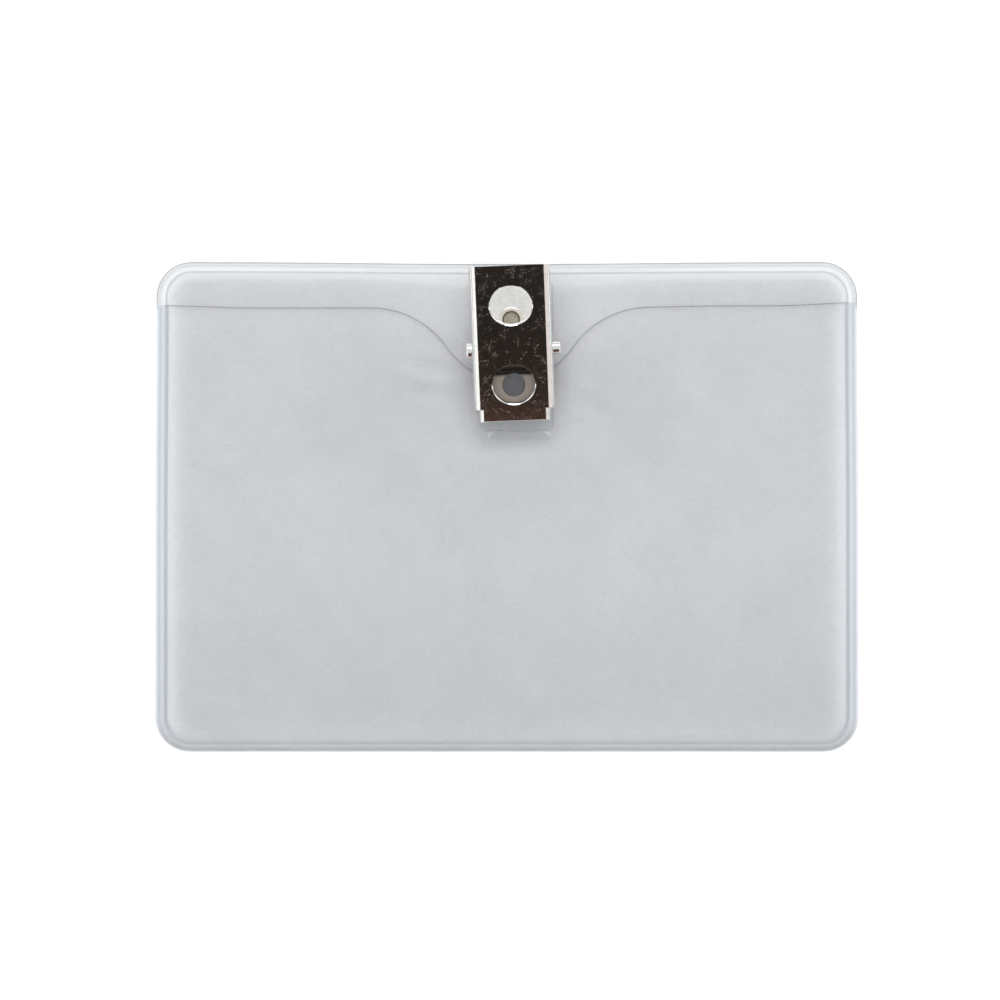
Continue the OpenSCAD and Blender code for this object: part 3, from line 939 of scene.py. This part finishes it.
def card(name, centre, aim, size, emission, stops):
    """A panel seen only in reflections, facing aim, with a vertical run of colour."""
    bpy.ops.mesh.primitive_plane_add(size=1, location=centre)
    o = bpy.context.object
    o.name = name
    o.scale = (*size, 1)
    o.rotation_mode = "QUATERNION"
    o.rotation_quaternion = (Vector(aim) - Vector(centre)).to_track_quat("Z", "Y")
    n = Nodes(name)
    c = n.add("ShaderNodeTexCoord")
    s = n.add("ShaderNodeSeparateXYZ")
    n.link(c.outputs["Generated"], s.inputs[0])
    e = n.add("ShaderNodeEmission")
    e.inputs["Strength"].default_value = emission
    n.link(n.ramp(s.outputs[1], stops), e.inputs["Color"])
    n.link(e.outputs[0], n.out.inputs["Surface"])
    o.data.materials.append(n.mat)
    o.visible_camera = False
    o.visible_diffuse = False
    o.visible_shadow = False
    o.visible_transmission = False
    o.visible_volume_scatter = False
    return o


# A dark panel stands where the tilted lever mirrors it, between two white ones
CARD_Y, CARD_H, DARK_W, WHITE_W = -0.28, 0.46, 0.13, 0.40
WHITE = [(0.0, (1.0, 0.99, 0.98)), (1.0, (1.0, 1.0, 1.0))]
WARM = [(0.0, (0.72, 0.65, 0.63)), (1.0, (0.76, 0.70, 0.68))]
# The side panels darken towards the table, so that upright faces and glancing film don't wash out
GRADED = [(0.0, (0.36, 0.37, 0.38)), (0.14, (0.44, 0.45, 0.46)), (0.36, grey(1.0)), (1.0, grey(1.0))]


def at_height(z):
    return z / CARD_H


DARK = [
    (0.0, (0.150, 0.075, 0.056)),
    (at_height(0.258), (0.150, 0.079, 0.060)),
    (at_height(0.268), (0.030, 0.022, 0.018)),
    (at_height(0.276), (0.022, 0.018, 0.015)),
    (1.0, (0.034, 0.030, 0.026)),
]
WHITE_STRENGTH = 1.25
card("dark_card", (0, CARD_Y, CARD_H / 2), (0, 0, CARD_H / 2), (DARK_W, CARD_H), 1.0, DARK)
for side in (-1, 1):
    x = side * (DARK_W + WHITE_W) / 2
    card(f"white_card_{'left' if side < 0 else 'right'}", (x, CARD_Y, CARD_H / 2), (x, 0, CARD_H / 2),
         (WHITE_W, CARD_H), WHITE_STRENGTH, WHITE if side < 0 else WARM)
    x = side * (DARK_W / 2 + WHITE_W)
    card(f"side_card_{'left' if side < 0 else 'right'}", (x, 0, CARD_H / 2), (0, 0, CARD_H / 2),
         (2 * abs(CARD_Y), CARD_H), WHITE_STRENGTH, GRADED)


def lamp(name, where, aim, size, power, glossy=True):
    data = bpy.data.lights.new(name, "AREA")
    data.shape = "RECTANGLE"
    data.size, data.size_y = size
    data.energy = power
    o = bpy.data.objects.new(name, data)
    bpy.context.scene.collection.objects.link(o)
    o.location = where
    o.rotation_mode = "QUATERNION"
    o.rotation_quaternion = (Vector(aim) - Vector(where)).to_track_quat("-Z", "Y")
    o.visible_glossy = glossy
    return o


lamp("key", (0.0, 0.80, 0.90), (0, 0, 0), (0.9, 0.5), 5.0)
lamp("left", (-0.95, 0.0, 0.55), (0, 0, 0), (0.5, 0.6), 3.2)
lamp("right", (0.95, 0.0, 0.55), (0, 0, 0), (0.5, 0.6), 3.2)
lamp("fill", (0.0, -0.90, 0.80), (0, 0, 0), (0.8, 0.5), 4.0, glossy=False)

world = bpy.data.worlds.new("studio")
world.use_nodes = True
world.node_tree.nodes["Background"].inputs[0].default_value = (0.975, 0.985, 1.0, 1)
world.node_tree.nodes["Background"].inputs[1].default_value = 0.80
bpy.context.scene.world = world
bpy.context.scene.view_settings.view_transform = "Standard"
bpy.context.scene.cycles.transparent_max_bounces = 32

CAMERA_DISTANCE, SEEN_WIDTH = 2.0, 0.13646
cam_data = bpy.data.cameras.new("camera")
cam_data.sensor_width = 36.0
cam_data.lens = cam_data.sensor_width * CAMERA_DISTANCE / SEEN_WIDTH
cam = bpy.data.objects.new("camera", cam_data)
bpy.context.scene.collection.objects.link(cam)
cam.location = (-0.00093, 0.00092, 2.001)
cam.rotation_euler = (0, 0, 0)
cam_data.clip_start, cam_data.clip_end = 0.05, 20
bpy.context.scene.camera = cam
